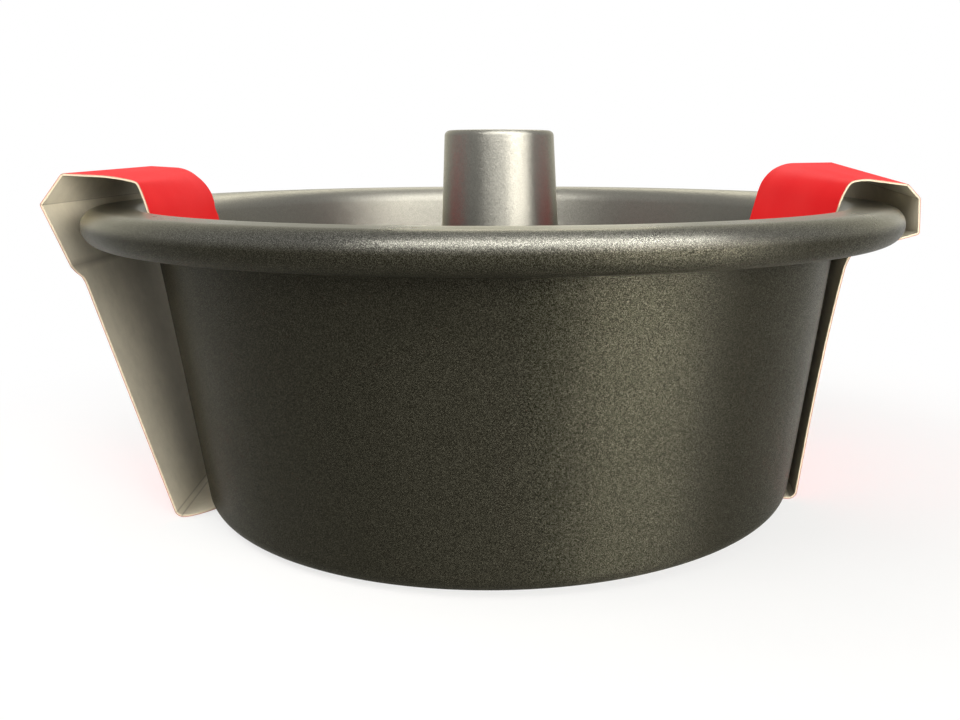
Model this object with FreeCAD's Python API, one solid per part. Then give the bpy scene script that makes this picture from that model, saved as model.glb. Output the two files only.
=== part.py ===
import FreeCAD, Part
import math
import os

os.makedirs("parts", exist_ok=True)

# Angel food cake pan: a spun ring with a rolled rim, a loose base that carries the centre tube,
# and the folded card sleeve that it is sold in. Lengths are millimetres, angles are degrees.
# The pan's axis is Z, the sleeve runs along X, and the floor is at Z = 0, under the sleeve.

# Sheet metal and the small allowances that all pieces share
sheet = 0.8              # thickness of ring, base and tube
overrun = 5.0            # how far a cutting shape reaches past what it cuts
closeness = 1e-6         # edges shorter than this are left out

# Pan ring
pan_height = 100.6       # underside to the crest of the rim
rim_radius = 135.0       # outermost reach of the rolled bead
rim_overhang = 19.2      # the bead's reach beyond the wall, measured at the crest
wall_spread = 12.1       # how much wider the wall is at the crest than at the underside
corner_radius = 4.7      # inside corner between wall and ledge
flare_radius = 7.0       # inside of the mouth, where the wall turns out into the rim
bead_height = 10.7       # the bead's nose is a half circle of this height
bead_width = 14.0        # nose to the curled-in edge
curl_radius = 2.4        # last bend of the bead, outside
curl_return = 5.0        # how far the curled-in edge stands up inside the bead

# Loose base
edge_clearance = 0.4     # between the base's edge and the start of the ring's corner
ledge_bearing = 10.0     # width of the base's edge that rests on the ledge
plateau_margin = 4.0     # flat band left between the ledge and the raised middle
plateau_run = 3.0        # width of the sloping step
plateau_rise = 1.6       # height of the raised middle
plateau_bend = 1.5       # bend on both sides of the step
hole_inset = 2.0         # edge of the middle hole, in from the outside of the tube's foot

# Centre tube
tube_height = 124.4      # pan's underside to the crest of the lip
tube_top_radius = 19.0
tube_foot_radius = 25.0  # outside of the tube, carried down to its foot flange
foot_flange = 7.0        # width of the flange that rests on the base
foot_bend = 3.0
lip_width = 4.4          # rolled-in top edge
lip_drop = 5.0
lip_bend = 1.9

# Card sleeve: one scored strip, folded round the pan
board = 0.7              # thickness of the card
end_half = 40.0          # half the width of everything above the shoulders
wall_half = 38.0         # half the width of the two wall panels
shoulder_run = 7.0       # height of the curved step between those two widths
strap_half = 24.0        # half the width of the strap under the base
taper_run = 18.0         # length of the curve where the strap narrows
strap_bend = 3.0         # bend between strap and wall panels
fold_gap = 0.2           # room at the crease that opens
flap_lean = 15.0         # angle of the flap from upright
flap_depth = 24.0        # how far the flap reaches below the rim's crest
flap_end_half = 33.0     # half the flap's width at its lower end
flap_corner = 7.0        # rounded lower corners of the flap

# Left end of the sleeve, which stands loose round the rim
left_foot_gap = 5.6      # wall panel's foot, out from the pan's wall
left_shoulder_drop = 7.1  # crease below the bead
left_shoulder_inset = 2.2  # the same crease, in from the rim's reach
left_corner_gap = 5.2    # outermost crease, out from the rim's reach
left_corner_rise = 1.2   # the same crease over the rim's crest
left_top_inset = 2.4     # top crease, in from the rim's reach
left_top_rise = 10.8     # top crease over the rim's crest
left_bend_rise = 9.6     # inner end of the top panel over the rim's crest
left_flap_bend = 14.0    # round bend between top panel and inner flap
left_flap_clearance = 0.8  # between the flap's edges and the inside of the wall

# Right end of the sleeve, which is drawn close to the pan
right_wall_gap = 0.4     # card to the pan's wall
right_side_gap = 2.1     # card to the rim's nose
right_shoulder_drop = 5.1
right_side_lift = 0.8    # outermost panel's lower crease over the bead's underside
right_side_rise = 4.9    # its upper crease over the rim's crest
right_top_inset = 1.9
right_top_rise = 9.4
right_bend_rise = 10.5
right_flap_bend = 8.0
right_flap_clearance = 1.5

# Levels and radii that follow from the sizes above
foot_radius = rim_radius - rim_overhang - wall_spread
underside = board
ledge_top = underside + sheet
rim_top = underside + pan_height
bead_bottom = rim_top - bead_height
wall_lean = math.atan2(wall_spread, pan_height)
wall_across = sheet / math.cos(wall_lean)


def wall_radius(height):
    return foot_radius + wall_spread * (height - underside) / pan_height


def inner_radius(height):
    return wall_radius(height) - wall_across


def point(x, z):
    return FreeCAD.Vector(x, 0, z)


def direction(start, end):
    return (end - start).normalize()


def left_of(way):
    return FreeCAD.Vector(-way.z, 0, way.x)


def turn_at(before, corner, after):
    into = direction(before, corner)
    out = direction(corner, after)
    return math.atan2(into.x * out.z - into.z * out.x, into.dot(out))


def bend_reach(before, corner, after, radius):
    return radius * math.tan(abs(turn_at(before, corner, after)) / 2)


def line_edges(start, end):
    return [Part.makeLine(start, end)] if (end - start).Length > closeness else []


def rounded_edges(points, radii):
    # Straight runs through the points, with a tangent arc of its own radius at each corner.
    edges = []
    last = points[0]
    for before, corner, after, radius in zip(points, points[1:], points[2:], radii):
        into = direction(before, corner)
        out = direction(corner, after)
        half_turn = abs(turn_at(before, corner, after)) / 2
        start = corner - into * bend_reach(before, corner, after, radius)
        end = corner + out * bend_reach(before, corner, after, radius)
        edges += line_edges(last, start)
        if radius > 0:
            middle = corner + (out - into).normalize() * radius * (1 / math.cos(half_turn) - 1)
            edges.append(Part.Arc(start, middle, end).toShape())
        last = end
    return edges + line_edges(last, points[-1])


def offset_path(points, distance):
    # The same path moved to its left, with its corners mitred.
    moved = []
    for index, corner in enumerate(points):
        before = points[max(index - 1, 0)]
        after = points[min(index + 1, len(points) - 1)]
        sides = [left_of(direction(a, b)) for a, b in ((before, corner), (corner, after)) if a != b]
        moved.append(corner + (sides[0] + sides[-1]) * (distance / (1 + sides[0].dot(sides[-1]))))
    return moved


def offset_radii(points, radii, distance):
    turns = [turn_at(*corners) for corners in zip(points, points[1:], points[2:])]
    return [r - math.copysign(distance, turn) if r > 0 else r for r, turn in zip(radii, turns)]


def closed_face(near, far):
    # Face between two rows of edges that run the same way.
    near_ends = Part.Wire(near).OrderedVertexes
    far_ends = Part.Wire(far).OrderedVertexes
    joins = [Part.makeLine(near_ends[end].Point, far_ends[end].Point) for end in (0, -1)]
    return Part.Face(Part.Wire(Part.__sortEdges__(near + far + joins)))


def sheet_section(points, radii, thickness):
    # Section of a bent sheet. A negative thickness lays the sheet to the right of the path.
    near = rounded_edges(points, radii)
    far = rounded_edges(offset_path(points, thickness), offset_radii(points, radii, thickness))
    return closed_face(near, far)


def spin(section):
    return section.revolve(point(0, 0), FreeCAD.Vector(0, 0, 1), 360)


def make_ring():
    # The path runs on the cake's side: ledge, wall, mouth, rim, nose and the edge curled in below.
    # The ring is one spun sheet, divided where the straight wall meets its two bends.
    curl_edge = rim_radius - bead_width
    nose = bead_height / 2
    ledge_edge = point(base_edge - ledge_bearing, ledge_top)
    corner = point(inner_radius(ledge_top), ledge_top)
    mouth = point(inner_radius(rim_top), rim_top)
    rim_edge = point(rim_radius, rim_top)
    upward = direction(corner, mouth)
    wall_low = corner + upward * bend_reach(ledge_edge, corner, mouth, corner_radius)
    wall_high = mouth - upward * bend_reach(corner, mouth, rim_edge, flare_radius)
    curl = [
        point(rim_radius, bead_bottom),
        point(curl_edge, bead_bottom),
        point(curl_edge, bead_bottom + curl_return),
    ]
    foot_path = [ledge_edge, corner, wall_low]
    rim_path = [wall_high, mouth, rim_edge] + curl
    return {
        "ring_foot": spin(sheet_section(foot_path, [corner_radius], -sheet)),
        "ring_wall": spin(sheet_section([wall_low, wall_high], [], -sheet)),
        "ring_rim": spin(sheet_section(rim_path, [flare_radius, nose, nose, curl_radius], -sheet)),
    }


def make_loose_base():
    # The path runs on the upper side, from the middle hole over the step to the edge of the disc.
    step_foot = base_edge - ledge_bearing - plateau_margin
    path = [
        point(tube_foot_radius - hole_inset, plateau_top),
        point(step_foot - plateau_run, plateau_top),
        point(step_foot, base_top),
        point(base_edge, base_top),
    ]
    return spin(sheet_section(path, [plateau_bend, plateau_bend], -sheet))


def make_centre_tube():
    # The path runs on the outside: foot flange, tapered wall, and the lip rolled in at the top.
    lip_edge = tube_top_radius - lip_width
    path = [
        point(tube_foot_radius + foot_flange, tube_foot + sheet),
        point(tube_foot_radius, tube_foot + sheet),
        point(tube_top_radius, tube_top),
        point(lip_edge, tube_top),
        point(lip_edge, tube_top - lip_drop),
    ]
    return spin(sheet_section(path, [foot_bend, lip_bend, lip_bend], sheet))


def flap_half(height):
    # The flap keeps its full width down to the rim's crest and narrows evenly below it.
    return end_half - (end_half - flap_end_half) * (rim_top - height) / flap_depth


def flap_line(height, clearance):
    # Printed side of the inner flap, set by the place where its edges come nearest to the pan's wall.
    nearest = rim_top - flare_radius
    chord = math.sqrt(inner_radius(nearest) ** 2 - flap_half(nearest) ** 2)
    lean = math.radians(flap_lean)
    return chord - clearance - board / math.cos(lean) + (height - nearest) * math.tan(lean)


def flap_ends(bend_rise, clearance):
    heights = (rim_top + bend_rise, rim_top - flap_depth)
    return [point(flap_line(height, clearance), height) for height in heights]


def left_path():
    # Printed side of the left half, drawn on the positive side and mirrored later.
    foot = foot_radius + left_foot_gap
    return [
        point(0, 0),
        point(foot, 0),
        point(rim_radius - left_shoulder_inset, bead_bottom - left_shoulder_drop),
        point(rim_radius + left_corner_gap, rim_top + left_corner_rise),
        point(rim_radius - left_top_inset, rim_top + left_top_rise),
    ] + flap_ends(left_bend_rise, left_flap_clearance)


def right_path():
    # The wall panel lies along the pan's wall, and the side panel stands beside the rim's nose.
    across = (right_wall_gap + board) / math.cos(wall_lean)
    shoulder = bead_bottom - right_shoulder_drop
    side = rim_radius + right_side_gap + board
    return [
        point(0, 0),
        point(wall_radius(0) + across, 0),
        point(wall_radius(shoulder) + across, shoulder),
        point(side, bead_bottom + right_side_lift),
        point(side, rim_top + right_side_rise),
        point(rim_radius - right_top_inset, rim_top + right_top_rise),
    ] + flap_ends(right_bend_rise, right_flap_clearance)


def fold_sections(path, bends, opening):
    # One section for each panel. Plain creases are mitred, and a round bend belongs to the panel
    # after it. The panel after the opening crease starts a little past it.
    inner = offset_path(path, board)
    sections = []
    for index in range(len(path) - 1):
        way = direction(path[index], path[index + 1])
        near, far, radii = [path[index]], [inner[index]], []
        if index == opening:
            near, far = [near[0] + way * fold_gap], [far[0] + way * fold_gap]
        if bends[index] > 0:
            into = direction(path[index - 1], path[index])
            start = path[index] - into * bend_reach(*path[index - 1:index + 2], bends[index])
            near.insert(0, start)
            far.insert(0, start + left_of(into) * board)
            radii = [bends[index]]
        if index + 1 < len(bends) and bends[index + 1] > 0:
            stop = path[index + 1] - way * bend_reach(*path[index:index + 3], bends[index + 1])
            near.append(stop)
            far.append(stop + left_of(way) * board)
        else:
            near.append(path[index + 1])
            far.append(inner[index + 1])
        far_radii = offset_radii(near, radii, board)
        sections.append(closed_face(rounded_edges(near, radii), rounded_edges(far, far_radii)))
    return sections


def across_strip(section):
    section.translate(FreeCAD.Vector(0, -end_half, 0))
    return section.extrude(FreeCAD.Vector(0, 2 * end_half, 0))


def s_curve(start, end, along):
    # Cubic that leaves and arrives along the given direction.
    pull = along * ((end - start).dot(along) / 2)
    curve = Part.BezierCurve()
    curve.setPoles([start, start + pull, end - pull, end])
    return curve.toShape()


def mirrored_outline(edges, plane_normal):
    # Closed outline from one half and its mirror image, joined by straight ends.
    half = Part.Wire(edges)
    other = half.mirror(point(0, 0), plane_normal)
    joins = [Part.makeLine(half.OrderedVertexes[end].Point, other.OrderedVertexes[end].Point) for end in (0, -1)]
    return Part.Face(Part.Wire(Part.__sortEdges__(half.Edges + other.Edges + joins)))


def cut_to_outline(panel, edges):
    # The outline is drawn across the strip, in the plane X = 0, and cuts straight through.
    outline = mirrored_outline(edges, FreeCAD.Vector(0, 1, 0))
    return panel.common(outline.extrude(FreeCAD.Vector(2 * rim_radius, 0, 0)))


def shape_wall_panel(panel, shoulder):
    up = FreeCAD.Vector(0, 0, 1)
    bottom = FreeCAD.Vector(0, wall_half, -overrun)
    step_foot = FreeCAD.Vector(0, wall_half, shoulder - shoulder_run)
    step_head = FreeCAD.Vector(0, end_half, shoulder)
    top = FreeCAD.Vector(0, end_half, shoulder + overrun)
    edges = [Part.makeLine(bottom, step_foot), s_curve(step_foot, step_head, up), Part.makeLine(step_head, top)]
    return cut_to_outline(panel, edges)


def shape_flap(panel):
    # Drawn along X like the sections, then turned across the strip.
    end = rim_top - flap_depth
    half = [
        point(end_half, rim_top + end_half),
        point(end_half, rim_top),
        point(flap_end_half, end),
        point(flap_end_half / 2, end),
    ]
    outline = Part.Wire(rounded_edges(half, [0, flap_corner]))
    outline.rotate(point(0, 0), FreeCAD.Vector(0, 0, 1), 90)
    return cut_to_outline(panel, outline.Edges)


def make_base_strap(left_end, right_end):
    along = FreeCAD.Vector(1, 0, 0)
    outer_left = FreeCAD.Vector(-left_end, wall_half, 0)
    waist_left = FreeCAD.Vector(taper_run - left_end, strap_half, 0)
    waist_right = FreeCAD.Vector(right_end - taper_run, strap_half, 0)
    outer_right = FreeCAD.Vector(right_end, wall_half, 0)
    edges = [
        s_curve(outer_left, waist_left, along),
        Part.makeLine(waist_left, waist_right),
        s_curve(waist_right, outer_right, along),
    ]
    return mirrored_outline(edges, FreeCAD.Vector(0, 1, 0)).extrude(FreeCAD.Vector(0, 0, board))


def make_sleeve_end(side, path, flap_bend, names):
    # Panels from the strap's end to the inner flap. Only the strap's and the flap's bends are round.
    folds = len(path) - 2
    bends = [0, strap_bend] + [0] * (folds - 2) + [flap_bend]
    sections = fold_sections(path, bends, folds - 1)
    panels = [across_strip(section) for section in sections[1:]]
    panels[0] = shape_wall_panel(panels[0], path[2].z)
    panels[-1] = shape_flap(panels[-1])
    if side == "left":
        panels = [panel.mirror(point(0, 0), FreeCAD.Vector(1, 0, 0)) for panel in panels]
    print(side, "fold axis at x, z:", path[folds - 1].x, path[folds - 1].z)
    return {"sleeve_" + side + "_" + name: panel for name, panel in zip(names, panels)}


# The base rests on the ledge, clear of the ring's inside corner, and the tube stands on the base.
corner_reach = corner_radius * math.tan((math.pi / 2 - wall_lean) / 2)
base_edge = inner_radius(ledge_top) - corner_reach - edge_clearance
base_top = ledge_top + sheet
plateau_top = base_top + plateau_rise
tube_foot = plateau_top
tube_top = underside + tube_height

left = left_path()
right = right_path()
parts = make_ring()
parts["loose_base"] = make_loose_base()
parts["centre_tube"] = make_centre_tube()
parts["sleeve_base_strap"] = make_base_strap(
    left[1].x - bend_reach(*left[:3], strap_bend),
    right[1].x - bend_reach(*right[:3], strap_bend),
)
left_names = ["wall", "lower_bevel", "upper_bevel", "top", "flap"]
right_names = ["wall", "lower_bevel", "side", "upper_bevel", "top", "flap"]
parts.update(make_sleeve_end("left", left, left_flap_bend, left_names))
parts.update(make_sleeve_end("right", right, right_flap_bend, right_names))

for name, shape in parts.items():
    shape.exportStep("parts/" + name + ".step")
    print(name, len(shape.Solids), shape.isValid(), round(shape.Volume, 1))
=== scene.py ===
import math
import bpy
import numpy as np
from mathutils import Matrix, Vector


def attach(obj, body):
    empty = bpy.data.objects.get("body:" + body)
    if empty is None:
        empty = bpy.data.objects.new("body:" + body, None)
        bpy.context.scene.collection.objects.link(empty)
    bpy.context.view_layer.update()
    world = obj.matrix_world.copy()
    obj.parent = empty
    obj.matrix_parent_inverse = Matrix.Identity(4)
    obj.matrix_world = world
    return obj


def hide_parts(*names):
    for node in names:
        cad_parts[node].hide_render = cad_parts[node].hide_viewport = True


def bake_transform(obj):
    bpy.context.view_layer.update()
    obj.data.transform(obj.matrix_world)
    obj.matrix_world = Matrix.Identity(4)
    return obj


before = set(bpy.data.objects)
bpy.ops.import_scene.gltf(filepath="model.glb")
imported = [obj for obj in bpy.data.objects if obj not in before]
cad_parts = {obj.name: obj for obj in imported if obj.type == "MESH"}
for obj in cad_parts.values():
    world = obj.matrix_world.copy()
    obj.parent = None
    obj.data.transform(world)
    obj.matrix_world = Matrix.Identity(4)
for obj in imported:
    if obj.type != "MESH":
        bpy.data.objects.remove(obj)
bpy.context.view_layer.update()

scene = bpy.context.scene
scene.view_settings.view_transform = "Standard"
mm = 0.001


# Shape tools: all lengths are millimetres until a mesh is made


def smoothStep(share):
    share = np.clip(share, 0, 1)
    return share * share * (3 - 2 * share)


# Straight runs through the corners with a tangent arc at each one. Gives the points, their left-hand
# normals, and the row numbers at the middle of each arc.
def roundedPath(corners, radii, runStep, arcSteps):
    corners = np.asarray(corners, float)
    radii = np.asarray(radii, float)
    ways = np.diff(corners, axis=0)
    ways /= np.hypot(ways[:, 0], ways[:, 1])[:, None]
    sides = np.stack([-ways[:, 1], ways[:, 0]], 1)
    turns = np.arctan2((sides[:-1] * ways[1:]).sum(1), (ways[:-1] * ways[1:]).sum(1))
    reaches = radii * np.tan(abs(turns) / 2)
    points, normals, middles, rows = [], [], [], 0
    start = corners[0]
    for run in range(len(ways)):
        last = run == len(turns)
        end = corners[-1] if last else corners[run + 1] - ways[run] * reaches[run]
        length = np.hypot(*(end - start))
        count = int(length / runStep) + 2 if length > 1e-6 else 1
        points.append(start + (end - start) * np.linspace(0, 1, count)[:, None])
        normals.append(np.repeat(sides[run:run + 1], count, 0))
        rows += count
        if last:
            break
        # arc about its centre: the normal turns evenly from one run's to the next one's
        angles = turns[run] * np.linspace(0, 1, arcSteps + 1)[1:-1]
        turned = np.stack([
            sides[run, 0] * np.cos(angles) - sides[run, 1] * np.sin(angles),
            sides[run, 0] * np.sin(angles) + sides[run, 1] * np.cos(angles)], 1)
        inward = np.sign(turns[run]) * radii[run]
        points.append(end + sides[run] * inward - turned * inward)
        normals.append(turned)
        middles.append(rows + len(angles) // 2)
        rows += len(angles)
        start = corners[run + 1] + ways[run + 1] * reaches[run]
    return np.concatenate(points), np.concatenate(normals), middles


# Closed outline of a bent sheet: along the path, round the cut edge, back along the offset side.
# The sheet lies to the right of the path. The second result is 1 on the path's own side.
def sheetOutline(points, normals, thickness, edgeRound):
    far = points - normals * thickness
    angles = np.linspace(0, math.pi, 7)[1:-1, None]

    def cutEdge(row, sign):
        way = sign * np.array([normals[row, 1], -normals[row, 0]])
        middle = (points[row] + far[row]) / 2
        lean = np.cos(angles) * sign * normals[row] * thickness / 2
        return middle + lean + np.sin(angles) * way * edgeRound

    outline = np.concatenate([points, cutEdge(-1, 1), far[::-1], cutEdge(0, -1)])
    ownSide = np.concatenate([np.ones(len(points)), np.zeros(len(outline) - len(points))])
    return outline, ownSide


# Puts whole arrays of vertices and quads into a new mesh object.
def meshObject(name, vertices, quads, materials, materialRows=None, sharpAngle=None):
    mesh = bpy.data.meshes.new(name)
    mesh.vertices.add(len(vertices))
    mesh.vertices.foreach_set("co", (vertices * mm).astype(np.float32).ravel())
    mesh.loops.add(quads.size)
    mesh.loops.foreach_set("vertex_index", quads.astype(np.int32).ravel())
    mesh.polygons.add(len(quads))
    mesh.polygons.foreach_set("loop_start", np.arange(0, quads.size, 4, dtype=np.int32))
    if materialRows is not None:
        mesh.polygons.foreach_set("material_index", materialRows.astype(np.int32))
    mesh.polygons.foreach_set("use_smooth", np.ones(len(quads), bool))
    mesh.update(calc_edges=True)
    mesh.validate()
    for material in materials:
        mesh.materials.append(material)
    if sharpAngle:
        mesh.set_sharp_from_angle(angle=sharpAngle)
    made = bpy.data.objects.new(name, mesh)
    scene.collection.objects.link(made)
    return made


# Turned surface: each outline point (radius, height) goes round the axis in even steps.
def turnedSheet(name, outline, steps, material):
    angles = np.linspace(0, 2 * math.pi, steps, endpoint=False)[:, None]
    radius, height = outline[:, 0], outline[:, 1]
    vertices = np.stack([
        np.cos(angles) * radius, np.sin(angles) * radius, np.zeros_like(angles) + height], 2).reshape(-1, 3)
    count = len(outline)
    ring, row = np.meshgrid(np.arange(steps), np.arange(count), indexing="ij")
    here = ring * count + row
    after = ring * count + (row + 1) % count
    nextHere = (ring + 1) % steps * count + row
    nextAfter = (ring + 1) % steps * count + (row + 1) % count
    quads = np.stack([here, after, nextAfter, nextHere], 2).reshape(-1, 4)
    return meshObject(name, vertices, quads, [material])


def addNode(tree, kind, inputs=None, **settings):
    made = tree.nodes.new(kind)
    for key, value in settings.items():
        setattr(made, key, value)
    for key, value in (inputs or {}).items():
        if isinstance(value, bpy.types.NodeSocket):
            tree.links.new(value, made.inputs[key])
        else:
            made.inputs[key].default_value = value
    return made


def newMaterial(name):
    material = bpy.data.materials.new(name)
    material.use_nodes = True
    tree = material.node_tree
    tree.nodes.clear()
    coords = addNode(tree, "ShaderNodeTexCoord").outputs["Object"]
    return material, tree, coords


def finishMaterial(tree, shader):
    addNode(tree, "ShaderNodeOutputMaterial", {"Surface": shader})


def mathNode(tree, operation, first, second=0.0):
    return addNode(tree, "ShaderNodeMath", {0: first, 1: second}, operation=operation).outputs[0]


def mixColour(tree, factor, first, second):
    mixed = addNode(tree, "ShaderNodeMix", data_type="RGBA")
    for socket, value in ((mixed.inputs[0], factor), (mixed.inputs[6], first), (mixed.inputs[7], second)):
        if isinstance(value, bpy.types.NodeSocket):
            tree.links.new(value, socket)
        else:
            socket.default_value = value
    return mixed.outputs[2]


def noiseNode(tree, coords, scale, detail=2.0, roughness=0.5):
    return addNode(tree, "ShaderNodeTexNoise", {
        "Vector": coords, "Scale": scale, "Detail": detail, "Roughness": roughness}).outputs["Fac"]


def spread(tree, value, low, high, fromLow=0.0, fromHigh=1.0):
    return addNode(tree, "ShaderNodeMapRange", {
        "Value": value, "From Min": fromLow, "From Max": fromHigh, "To Min": low, "To Max": high}).outputs[0]


coat = {
    "charcoal": (0.0087, 0.0081, 0.0050, 1),
    "flake": (0.0684, 0.0652, 0.0477, 1),
    "flakeShare": 0.24,          # share of flakes that show as bare metal
    # the bead's upper half: partly metal pressed smoother, partly a painted highlight
    "rolledSheenGround": (0.0480, 0.0469, 0.0408, 1),
    "rolledSheenFlake": (0.1785, 0.1751, 0.1530, 1),
    "rolledSheenShare": 0.06,         # added to that share on the bead's upper half, brightening its painted highlight
    # the lighter grey coat is painted light: a lit copy of the charcoal, for the inside, the tube and the base
    "paintedLitPewter": (0.1455, 0.1417, 0.1245, 1),
    "paintedLitPewterFlake": (0.2400, 0.2336, 0.2048, 1),
    "flakeScale": 9000,          # cells per metre
    "charcoalTilt": 0.21,        # how far the flakes lean out of the surface
    "pewterTilt": 0.20,
    "rolledTilt": 0.12,
    "charcoalRough": (0.43, 0.49),
    "pewterRough": (0.31, 0.37),
    "rolledShine": 0.17,         # how much smoother the rolled rim is than the wall
    "specular": 0.045,
    "tint": (1.0, 0.97, 0.82, 1),
    "spinLines": 0.85,           # how far the rings left by spinning stretch a highlight across them
    "peelScale": 420,
    "peelDepth": 0.00001,
    "mottleScale": 700,
    "mottleCells": 0.6,          # share of the pewter's mottle that goes by flake, the rest is cloud
    "wornScale": 45,
    "wornRange": (0.3, 0.7),     # part of the worn pattern that spreads over the whole roughness
    "metalShare": 0.92,          # how metallic the pewter and the rolled rim are
}


# Non-stick coat with metal flakes. Every cell of a fine cell pattern is one flake with its own lean, most
# of them buried and some bare, over a soft orange-peel ripple. The share blends the charcoal into a lighter
# grey coat, which is painted light:
# one coat in a shaded and a lit copy. The bead mask marks the rim's upper half, brighter and smoother: partly
# metal pressed smoother, partly a painted highlight.
def makeCoat(name, share, rolledAndSheen):
    material, tree, coords = newMaterial(name)
    if isinstance(share, str):
        share = addNode(tree, "ShaderNodeAttribute", attribute_name=share).outputs["Fac"]
        rolledAndSheen = addNode(tree, "ShaderNodeAttribute", attribute_name=rolledAndSheen).outputs["Fac"]
    cells = addNode(tree, "ShaderNodeTexVoronoi", {
        "Vector": coords, "Scale": coat["flakeScale"]}).outputs["Color"]
    chance = addNode(tree, "ShaderNodeSeparateColor", {"Color": cells}).outputs[0]
    shown = mathNode(tree, "ADD", chance, mathNode(tree, "MULTIPLY", rolledAndSheen, coat["rolledSheenShare"]))
    bare = spread(tree, shown, 0.0, 1.0, 1 - 2 * coat["flakeShare"], 1.0)
    cloud = noiseNode(tree, coords, coat["mottleScale"], 3.0, 0.6)
    mottle = mathNode(tree, "ADD", mathNode(tree, "MULTIPLY", chance, coat["mottleCells"]),
                      mathNode(tree, "MULTIPLY", cloud, 1 - coat["mottleCells"]))
    # lighter ground and flakes on the bead's upper half, partly a painted highlight
    ground = mixColour(tree, rolledAndSheen, coat["charcoal"], coat["rolledSheenGround"])
    flake = mixColour(tree, rolledAndSheen, coat["flake"], coat["rolledSheenFlake"])
    dark = mixColour(tree, bare, ground, flake)
    # the lighter grey coat blended in by share is painted light
    pale = mixColour(tree, mottle, coat["paintedLitPewter"], coat["paintedLitPewterFlake"])
    peel = noiseNode(tree, coords, coat["peelScale"])
    rippled = addNode(tree, "ShaderNodeBump", {
        "Height": peel, "Strength": 1.0, "Distance": coat["peelDepth"]}).outputs["Normal"]
    lean = addNode(tree, "ShaderNodeVectorMath", {
        0: cells, 1: (0.5, 0.5, 0.5)}, operation="SUBTRACT").outputs[0]
    darkTilt = spread(tree, rolledAndSheen, coat["charcoalTilt"], coat["rolledTilt"])
    tilt = addNode(tree, "ShaderNodeMapRange", {
        "Value": share, "To Min": darkTilt, "To Max": coat["pewterTilt"]}).outputs[0]
    leaned = addNode(tree, "ShaderNodeVectorMath", {0: lean, "Scale": tilt}, operation="SCALE").outputs[0]
    flaked = addNode(tree, "ShaderNodeVectorMath", {0: rippled, 1: leaned}, operation="ADD").outputs[0]
    normal = addNode(tree, "ShaderNodeVectorMath", {0: flaked}, operation="NORMALIZE").outputs[0]
    worn = noiseNode(tree, coords, coat["wornScale"], 4.0, 0.6)
    wallRough = spread(tree, worn, *coat["charcoalRough"], *coat["wornRange"])
    pressed = mathNode(tree, "MULTIPLY", rolledAndSheen, coat["rolledShine"])
    darkRough = mathNode(tree, "SUBTRACT", wallRough, pressed)
    paleRough = spread(tree, worn, *coat["pewterRough"], *coat["wornRange"])
    rough = addNode(tree, "ShaderNodeMapRange", {
        "Value": share, "To Min": darkRough, "To Max": paleRough}).outputs[0]
    smooth = mathNode(tree, "MULTIPLY", mathNode(tree, "MAXIMUM", share, rolledAndSheen), coat["metalShare"])
    metal = mathNode(tree, "MAXIMUM", smooth, bare)
    # the rings run round the axis, so a quarter turn from them points across
    along = addNode(tree, "ShaderNodeVectorMath", {
        0: (0, 0, 1), 1: coords}, operation="CROSS_PRODUCT").outputs[0]
    rings = addNode(tree, "ShaderNodeVectorMath", {0: along}, operation="NORMALIZE").outputs[0]
    shader = addNode(tree, "ShaderNodeBsdfPrincipled", {
        "Base Color": mixColour(tree, share, dark, pale), "Metallic": metal, "Roughness": rough,
        "Normal": normal, "Specular IOR Level": coat["specular"], "Specular Tint": coat["tint"],
        "Tangent": rings, "Anisotropic": coat["spinLines"], "Anisotropic Rotation": 0.25})
    finishMaterial(tree, shader.outputs[0])
    return material


card = {
    "red": (0.90, 0.010, 0.013, 1),
    "redPale": (0.94, 0.022, 0.023, 1),
    "board": (0.76, 0.70, 0.56, 1),
    "boardDark": (0.60, 0.55, 0.43, 1),
    "cutEdge": (0.74, 0.64, 0.47, 1),
    "cutEdgeDark": (0.60, 0.47, 0.36, 1),
    # painted shade along the scored creases
    "creaseShadeColour": (0.30, 0.26, 0.19, 1),
    "edgeInk": (0.50, 0.20, 0.15, 1),
    "creaseShadeDepth": 0.6,
    "driftScale": 28,
    "printFibre": 900,
    "printRough": (0.48, 0.58),
    "printShine": 0.04,
    "cloudScale": 160,
    "speckScale": 420,
    "boardFibre": 1500,
    "edgeFibre": 2500,
    "boardRough": (0.72, 0.9),
    "boardShine": 0.25,
}


# Printed face: smooth ink with a faint drift of tone, long board fibres just showing in the gloss.
def makePrint():
    material, tree, coords = newMaterial("redPrint")
    drift = noiseNode(tree, coords, card["driftScale"], 2.0)
    fibre = noiseNode(tree, coords, card["printFibre"], 3.0, 0.7)
    bump = addNode(tree, "ShaderNodeBump", {
        "Height": fibre, "Strength": 0.25, "Distance": 0.00002}).outputs["Normal"]
    shader = addNode(tree, "ShaderNodeBsdfPrincipled", {
        "Base Color": mixColour(tree, spread(tree, drift, 0, 1, 0.35, 0.65), card["red"], card["redPale"]),
        "Roughness": spread(tree, fibre, *card["printRough"]), "Normal": bump,
        "Specular IOR Level": card["printShine"]})
    finishMaterial(tree, shader.outputs[0])
    return material
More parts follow.
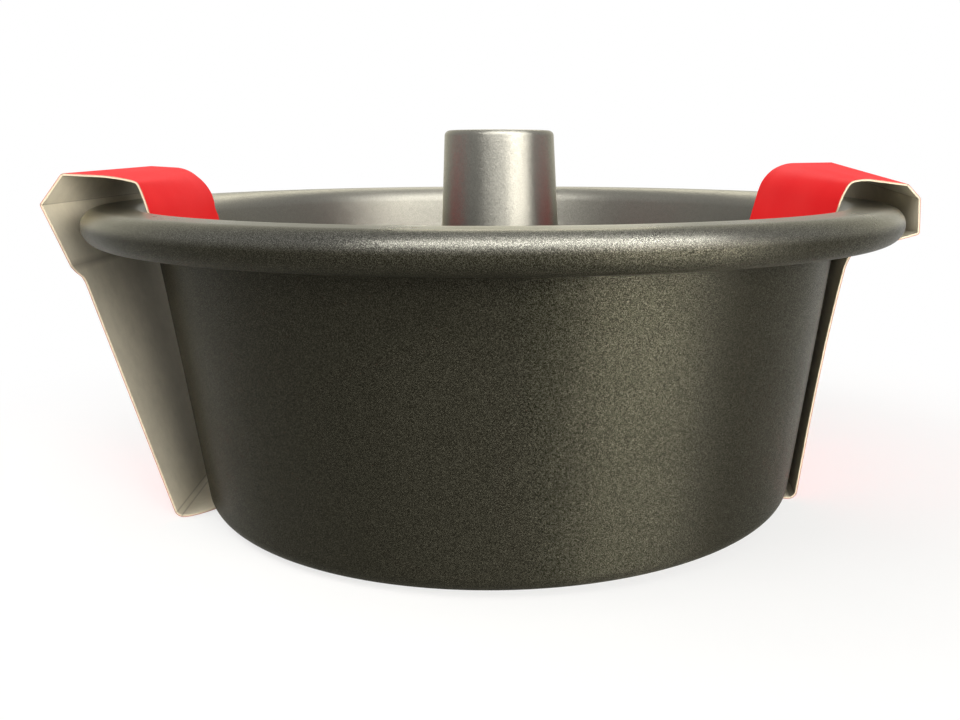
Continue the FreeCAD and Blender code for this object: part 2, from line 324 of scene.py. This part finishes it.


# Bare board: pulp in two tones with fine specks and a soft fibrous bump, with painted shade along the scored
# creases.
# On a cut edge the ink shows along the printed side.
def makeBoard(name, pale, dark, fibreScale):
    material, tree, coords = newMaterial(name)
    cloud = noiseNode(tree, coords, card["cloudScale"], 4.0, 0.65)
    fibre = noiseNode(tree, coords, fibreScale, 4.0, 0.7)
    specks = addNode(tree, "ShaderNodeTexVoronoi", {
        "Vector": coords, "Scale": card["speckScale"]}).outputs["Distance"]
    speck = spread(tree, specks, 0.55, 0.0, 0.02, 0.10)
    tone = mathNode(tree, "ADD", spread(tree, cloud, 0.0, 0.55, 0.35, 0.7), speck)
    bump = addNode(tree, "ShaderNodeBump", {
        "Height": fibre, "Strength": 0.5, "Distance": 0.00006}).outputs["Normal"]
    score = addNode(tree, "ShaderNodeAttribute", attribute_name="score").outputs["Fac"]
    # painted shade along the scored creases
    pressed = mathNode(tree, "MULTIPLY", score, card["creaseShadeDepth"])
    ink = addNode(tree, "ShaderNodeAttribute", attribute_name="printed").outputs["Fac"]
    inked = spread(tree, ink, 0, 1, 0.6, 0.8)
    pulp = mixColour(tree, inked, mixColour(tree, tone, pale, dark), card["edgeInk"])
    shader = addNode(tree, "ShaderNodeBsdfPrincipled", {
        "Base Color": mixColour(tree, pressed, pulp, card["creaseShadeColour"]),
        "Roughness": spread(tree, fibre, *card["boardRough"]),
        "Normal": bump, "Specular IOR Level": card["boardShine"]})
    finishMaterial(tree, shader.outputs[0])
    return material


ringCoat = makeCoat("ringCoat", "paintedLitInside", "rolledAndSheen")
# the tube and base take the lighter grey coat throughout, painted as a lit copy of the charcoal
paintedLitPewterCoat = makeCoat("paintedLitPewterCoat", 1.0, 0.0)
cardMaterials = [
    makePrint(),
    makeBoard("bareBoard", card["board"], card["boardDark"], card["boardFibre"]),
    makeBoard("cutEdge", card["cutEdge"], card["cutEdgeDark"], card["edgeFibre"]),
]
print("materials ready")


ring = {
    "sheet": 0.8,
    "steps": 320,
    "corners": [(88.42, 1.5), (102.99, 1.5), (114.99, 101.3), (135, 101.3), (135, 90.6),
                (121, 90.6), (121, 95.6)],
    "bends": [4.7, 7.0, 5.35, 5.35, 2.4],
    "runStep": 4,
    "arcSteps": 14,
    "edgeRound": 0.3,
    # how far the inside goes to the lighter grey coat, which is painted light
    "paintedLitInsideShare": 0.85,
    "mouthFade": (119, 126),     # radii between which the painted-lit lighter coat inside runs out into the rim
    "rolledFrom": (115.5, 120),  # radii between which the wall turns into the rolled rim
    "sheenLowEdge": (95.8, 98.6),   # heights between which the bead's dull underside turns into its brighter top, the lower edge of a painted highlight
}


def buildRing():
    points, normals, _ = roundedPath(ring["corners"], ring["bends"], ring["runStep"], ring["arcSteps"])
    outline, ownSide = sheetOutline(points, normals, ring["sheet"], ring["edgeRound"])
    made = turnedSheet("panRing", outline, ring["steps"], ringCoat)
    near, far = ring["mouthFade"]
    # the inside's share of the lighter grey coat is painted light
    inside = ring["paintedLitInsideShare"] * ownSide * smoothStep((far - outline[:, 0]) / (far - near))
    near, far = ring["rolledFrom"]
    rolledAndSheen = smoothStep((outline[:, 0] - near) / (far - near))
    # the height fade is the lower edge of a painted highlight on the bead
    low, high = ring["sheenLowEdge"]
    rolledAndSheen *= smoothStep((outline[:, 1] - low) / (high - low))
    for name, values in (("paintedLitInside", inside), ("rolledAndSheen", rolledAndSheen)):
        attribute = made.data.attributes.new(name, "FLOAT", "POINT")
        attribute.data.foreach_set("value", np.tile(values, ring["steps"]).astype(np.float32))
    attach(made, "pan")
    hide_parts("ring_foot", "ring_wall", "ring_rim")


base = {
    "sheet": 0.8,
    "steps": 256,
    "corners": [(23.0, 3.9), (81.42, 3.9), (84.42, 2.3), (98.42, 2.3)],
    "bends": [1.5, 1.5],
    "runStep": 4,
    "arcSteps": 12,
    "edgeRound": 0.3,
}
tube = {
    "sheet": 0.8,
    "steps": 160,
    "corners": [(14.6, 120.1), (14.6, 125.1), (19.0, 125.1), (25.0, 4.7), (32.0, 4.7)],
    "bends": [1.9, 1.9, 3.0],
    "runStep": 4,
    "arcSteps": 12,
    "edgeRound": 0.3,
}


def buildTurned(name, sizes, node):
    points, normals, _ = roundedPath(sizes["corners"], sizes["bends"], sizes["runStep"], sizes["arcSteps"])
    outline, _ = sheetOutline(points, normals, sizes["sheet"], sizes["edgeRound"])
    made = turnedSheet(name, outline, sizes["steps"], paintedLitPewterCoat)
    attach(made, "base")
    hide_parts(node)


buildRing()
buildTurned("looseBase", base, "loose_base")
buildTurned("centreTube", tube, "centre_tube")
print("pan ring, base and tube turned")


sleeve = {
    "board": 0.7,
    "endHalf": 40.0,
    "strapHalf": 24.0,
    "shoulderRun": 5.0,
    "taperRun": 18.0,
    "footBend": 3.0,
    "crease": 1.3,
    "scoreWidth": 0.3,
    "scorePair": 2.6,            # between the two lines at the foot
    "flapTop": 101.3,            # height below which the flap narrows
    "flapEnd": 77.3,
    "flapEndHalf": 33.0,
    "flapCorner": 7.0,
    "acrossSteps": 24,
    "runStep": 2,
    "arcSteps": 20,
    "strapSteps": 200,
    "strapBowRun": 30.0,         # length over which the strap takes up the right wall's bow
    "sharpAngle": 45.0,          # degrees
}
# For each corner of the folds: its place at mid width, how much further out and up the rear edge lies than
# the middle (skew), and how far both edges lie inside the middle (bow). The wall's half widths are at its foot
# and at its shoulder, and tighten draws the front of the flap's bend towards its corner.
leftEnd = {
    "corners": [(60, 0), (109.3, 0), (132.8, 83.5), (138.2, 102.5), (132.6, 112.1), (111.1, 110.9),
                (104.2, 77.3)],
    "skew": [(0, 0), (0, 0), (-0.4, 0), (-2.0, 0.2), (-0.3, 0.5), (1.3, 0.5), (-1.4, 0)],
    "bow": [0, 0, 0, 0, 0, 0, 0],
    "wallHalves": (37.2, 34.2),
    "tighten": 0.45,
    "flapBend": 14.0,
    "hingeRun": 3.0,
    "names": ["Wall", "LowerBevel", "UpperBevel", "Top", "Flap"],
    "nodes": ["wall", "lower_bevel", "upper_bevel", "top", "flap"],
    "side": "left",
}
rightEnd = {
    "corners": [(60, 0), (104.72, 0), (115.01, 85.5), (138.4, 91.4), (138.4, 106.2), (133.7, 110.7),
                (110.11, 111.8), (99.9, 77.3)],
    "skew": [(0, 0), (0, 0), (0, 0), (2.6, 0), (3.3, 3.1), (3.3, 3.0), (0.3, 1.6), (-1.8, 0)],
    "bow": [4.2, 4.2, 1.6, 0, 0, 0, 0, 0],
    "wallHalves": (38.0, 38.0),
    "tighten": 0.3,
    "flapBend": 12.0,
    "hingeRun": 8.0,
    "names": ["Wall", "LowerBevel", "Side", "UpperBevel", "Top", "Flap"],
    "nodes": ["wall", "lower_bevel", "side", "upper_bevel", "top", "flap"],
    "side": "right",
}


# Card panel: a row of points across the width at each path point, on the printed face and again one board
# thickness along the normal. Skew goes with the place across, bow with its square.
def cardPanel(name, points, normals, halfWidths, skew, bow, score, mirrored):
    across = np.linspace(-1, 1, sleeve["acrossSteps"] + 1)
    inner = points + normals * sleeve["board"]

    def face(line):
        x = line[:, :1] + skew[:, :1] * across - bow[:, None] * across ** 2
        y = halfWidths[:, None] * across
        z = line[:, 1:] + skew[:, 1:] * across
        return np.stack([-x if mirrored else x, y, z], 2)

    vertices = np.concatenate([face(points), face(inner)[:, ::-1]], 1)
    rows, loop = vertices.shape[:2]
    count = len(across)
    row, place = np.meshgrid(np.arange(rows - 1), np.arange(loop), indexing="ij")
    following = (place + 1) % loop
    sides = np.stack([row * loop + place, row * loop + following,
                      (row + 1) * loop + following, (row + 1) * loop + place], 2).reshape(-1, 4)
    kinds = np.where(np.arange(loop) < count - 1, 0, 1)
    kinds[[count - 1, loop - 1]] = 2
    strip = np.arange(count - 1)
    cap = np.stack([strip + 1, strip, loop - 1 - strip, loop - 2 - strip], 1)
    quads = np.concatenate([sides, cap, cap[:, ::-1] + (rows - 1) * loop])
    materialRows = np.concatenate([np.tile(kinds, rows - 1), np.full(2 * len(cap), 2)])
    if mirrored:
        quads = quads[:, ::-1]
    made = meshObject(name, vertices.reshape(-1, 3), quads, cardMaterials, materialRows,
                      math.radians(sleeve["sharpAngle"]))
    printed = np.tile(np.arange(loop) < count, rows)
    for key, values in (("score", np.repeat(score, loop)), ("printed", printed)):
        attribute = made.data.attributes.new(key, "FLOAT", "POINT")
        attribute.data.foreach_set("value", values.astype(np.float32))
    return made


def buildStrap():
    ends = []
    for end in (leftEnd, rightEnd):
        foot, wall = np.array(end["corners"][1]), np.array(end["corners"][2])
        way = (wall - foot) / np.hypot(*(wall - foot))
        ends.append(foot[0] - sleeve["footBend"] * math.tan(math.atan2(way[1], way[0]) / 2))
    steps = sleeve["strapSteps"]
    places = np.linspace(-ends[0], ends[1], steps)
    fromEnd = np.minimum(places + ends[0], ends[1] - places) / sleeve["taperRun"]
    endHalves = np.where(places < 0, leftEnd["wallHalves"][0], rightEnd["wallHalves"][0])
    halfWidths = endHalves + (sleeve["strapHalf"] - endHalves) * smoothStep(fromEnd)
    points = np.stack([places, np.zeros(steps)], 1)
    normals = np.tile((0.0, 1.0), (steps, 1))
    bowRun = sleeve["strapBowRun"]
    bow = rightEnd["bow"][1] * smoothStep((places - ends[1] + bowRun) / bowRun)
    made = cardPanel("sleeveBaseStrap", points, normals, halfWidths, np.zeros((steps, 2)), bow,
                     np.zeros(steps), False)
    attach(made, "pan")
    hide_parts("sleeve_base_strap")


def buildEnd(end):
    corners = np.array(end["corners"], float)
    folds = len(corners) - 2
    bends = [sleeve["footBend"]] + [sleeve["crease"]] * (folds - 2) + [end["flapBend"]]
    arcSteps = sleeve["arcSteps"]
    points, normals, middles = roundedPath(corners, bends, sleeve["runStep"], arcSteps)
    flapStart = middles[-1] - arcSteps // 2
    footStart = middles[0] - arcSteps // 2
    splits = [footStart] + middles[1:-1] + [flapStart, len(points) - 1]
    # skew and bow run evenly from corner to corner, but the wall panel keeps its bow until near the shoulder
    travel = np.concatenate([[0], np.cumsum(np.hypot(*np.diff(points, axis=0).T))])
    marks = [0] + [travel[middle] for middle in middles] + [travel[-1]]
    bow = np.interp(travel, marks, end["bow"])
    upWall = np.clip((travel - marks[1]) / (marks[2] - marks[1]), 0, 1)
    bow[:middles[1]] = (end["bow"][1] + (end["bow"][2] - end["bow"][1]) * upWall ** 3)[:middles[1]]
    skew = np.stack([np.interp(travel, marks, values) for values in zip(*end["skew"])], 1)
    roundBend = np.clip((np.arange(len(points)) - flapStart) / arcSteps, 0, 1)
    drawn = end["tighten"] * np.sin(math.pi * roundBend)[:, None] ** 2 * (corners[-2] - points)
    points, skew = points + drawn / 2, skew - drawn / 2
    # one scored line at each crease, and a pair at the foot, which the board material draws as painted shade
    lines = [travel[middle] for middle in middles[1:-1]]
    lines += [travel[middles[0]] - sleeve["scorePair"] / 2, travel[middles[0]] + sleeve["scorePair"] / 2]
    score = np.exp(-((travel[:, None] - np.array(lines)) / sleeve["scoreWidth"]) ** 2).max(1)
    shoulder = corners[2, 1]
    step = smoothStep((points[:, 1] - shoulder + sleeve["shoulderRun"]) / sleeve["shoulderRun"])
    wallHalves = end["wallHalves"][0] + (end["wallHalves"][1] - end["wallHalves"][0]) * upWall
    halfWidths = wallHalves + (sleeve["endHalf"] - wallHalves) * step
    halfWidths[middles[1]:] = sleeve["endHalf"]
    flap = np.arange(len(points)) >= flapStart
    narrowed = np.clip((sleeve["flapTop"] - points[:, 1]) / (sleeve["flapTop"] - sleeve["flapEnd"]), 0, 1)
    halfWidths -= (sleeve["endHalf"] - sleeve["flapEndHalf"]) * narrowed * flap
    toEnd = np.clip(1 - (travel[-1] - travel) / sleeve["flapCorner"], 0, 1)
    halfWidths -= sleeve["flapCorner"] * (1 - np.sqrt(1 - toEnd ** 2))
    for index, name in enumerate(end["names"]):
        rows = slice(splits[index], splits[index + 1] + 1)
        made = cardPanel("sleeve" + end["side"].capitalize() + name, points[rows], normals[rows],
                         halfWidths[rows], skew[rows], bow[rows], score[rows], end["side"] == "left")
        node = end["nodes"][index]
        if node == "top":
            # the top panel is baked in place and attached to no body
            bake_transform(made)
        else:
            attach(made, end["side"] + "_end" if node == "flap" else "pan")
        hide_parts("sleeve_" + end["side"] + "_" + node)


buildStrap()
buildEnd(leftEnd)
buildEnd(rightEnd)
print("card sleeve folded")


stage = {
    "floorHalf": 4.0,
    "floorDrop": -0.0003,
    "floorColour": (0.92, 0.92, 0.915, 1),
    "shadowNear": 0.11,          # metres from the axis within which the shadow keeps its full depth
    "shadowFar": 0.32,
    "nearWhite": 0.65,           # share of plain white in the floor close to the pan
    "skyLight": 0.12,
    "floorGrain": 35,
    "aimHeight": 0.07,           # the lamps point at the axis at this height
}
lamps = {
    "keyLight": {"place": (0.76, -0.98, 0.28), "size": (0.9, 0.42), "power": 14.0,
                 "colour": (1.0, 0.96, 0.89)},
    "windowLight": {"place": (0.30, -1.20, 0.45), "size": (1.0, 0.4), "power": 6.0,
                    "colour": (1.0, 0.98, 0.94)},
    "topLight": {"place": (0.10, -0.42, 1.15), "size": (0.7, 0.3), "power": 2.0,
                 "colour": (1.0, 0.98, 0.93)},
    "backLight": {"place": (0.10, 0.95, 0.80), "size": (0.5, 0.4), "power": 2.5,
                  "colour": (1.0, 0.98, 0.94)},
    # a fill lights without showing as shine, and the last two are seen only as shine
    "leftFill": {"place": (-0.70, -0.20, 0.85), "size": (0.9, 0.7), "power": 8.5,
                 "colour": (1.0, 0.98, 0.94)},
    "windowShine": {"place": (0.20, -0.80, 1.00), "size": (1.9, 0.6), "power": 42.0,
                    "colour": (1.0, 0.99, 0.96)},
    "stripShine": {"place": (0.36, -0.365, 0.013), "size": (0.34, 0.02), "power": 5.0,
                   "colour": (1.0, 0.96, 0.89)},
}
view = {
    "distance": 0.33367,         # from the pan's axis
    "height": 0.11765,
    "turn": 2.5,                 # degrees that the camera stands to the left of the sleeve's middle
    "heading": 4.84,             # degrees that it looks to the right of straight along Y
    "downward": 12.645,          # degrees
    "focal": 925.5,              # pixels, in a picture 960 pixels wide
    "centreColumn": 538.2,       # picture column that the lens looks at
    "pictureWidth": 960,
    "sensorWidth": 36,           # millimetres
    "clipStart": 0.01,
}


def raysThatShow(tree):
    path = addNode(tree, "ShaderNodeLightPath").outputs
    shown = mathNode(tree, "MAXIMUM", path["Is Camera Ray"], path["Is Glossy Ray"])
    return mathNode(tree, "MAXIMUM", shown, path["Is Transmission Ray"])


def buildFloor():
    half = stage["floorHalf"] / mm
    drop = stage["floorDrop"] / mm
    vertices = np.array([
        (-half, -half, drop), (half, -half, drop), (half, half, drop), (-half, half, drop)])
    material, tree, coords = newMaterial("paleFloor")
    grain = noiseNode(tree, coords, stage["floorGrain"], 3.0)
    away = addNode(tree, "ShaderNodeVectorMath", {0: coords}, operation="LENGTH").outputs["Value"]
    white = addNode(tree, "ShaderNodeMapRange", {
        "Value": away, "From Min": stage["shadowNear"], "From Max": stage["shadowFar"],
        "To Min": stage["nearWhite"], "To Max": 1.0}, interpolation_type="SMOOTHSTEP").outputs[0]
    paint = addNode(tree, "ShaderNodeBsdfDiffuse", {
        "Color": stage["floorColour"], "Roughness": spread(tree, grain, 0.4, 0.6)}).outputs[0]
    glow = addNode(tree, "ShaderNodeEmission", {"Color": (1, 1, 1, 1), "Strength": 1.0}).outputs[0]
    share = mathNode(tree, "MULTIPLY", raysThatShow(tree), white)
    finishMaterial(tree, addNode(tree, "ShaderNodeMixShader", {0: share, 1: paint, 2: glow}).outputs[0])
    made = meshObject("floor", vertices, np.array([[0, 1, 2, 3]]), [material])


def buildSky():
    world = bpy.data.worlds.new("studio")
    world.use_nodes = True
    tree = world.node_tree
    tree.nodes.clear()
    strength = spread(tree, raysThatShow(tree), stage["skyLight"], 1.0)
    sky = addNode(tree, "ShaderNodeBackground", {"Color": (1, 1, 1, 1), "Strength": strength})
    addNode(tree, "ShaderNodeOutputWorld", {"Surface": sky.outputs[0]})
    scene.world = world


def buildLamps():
    aim = Vector((0, 0, stage["aimHeight"]))
    for name, lamp in lamps.items():
        data = bpy.data.lights.new(name, "AREA")
        data.shape = "RECTANGLE"
        data.size, data.size_y = lamp["size"]
        data.energy = lamp["power"]
        data.color = lamp["colour"]
        made = bpy.data.objects.new(name, data)
        made.location = lamp["place"]
        made.visible_diffuse = not name.endswith("Shine")
        made.visible_glossy = not name.endswith("Fill")
        made.rotation_euler = (aim - made.location).to_track_quat("-Z", "Y").to_euler()
        scene.collection.objects.link(made)


def buildCamera():
    turn, heading, down = (math.radians(view[key]) for key in ("turn", "heading", "downward"))
    data = bpy.data.cameras.new("photoCamera")
    data.sensor_fit = "HORIZONTAL"
    data.sensor_width = view["sensorWidth"]
    data.lens = view["focal"] / view["pictureWidth"] * data.sensor_width
    data.shift_x = 0.5 - view["centreColumn"] / view["pictureWidth"]
    data.clip_start = view["clipStart"]
    made = bpy.data.objects.new("photoCamera", data)
    made.location = (
        -view["distance"] * math.sin(turn), -view["distance"] * math.cos(turn), view["height"])
    made.rotation_euler = (math.pi / 2 - down, 0, -heading)
    scene.collection.objects.link(made)
    scene.camera = made


buildFloor()
buildSky()
buildLamps()
buildCamera()
print("floor, light and camera set")
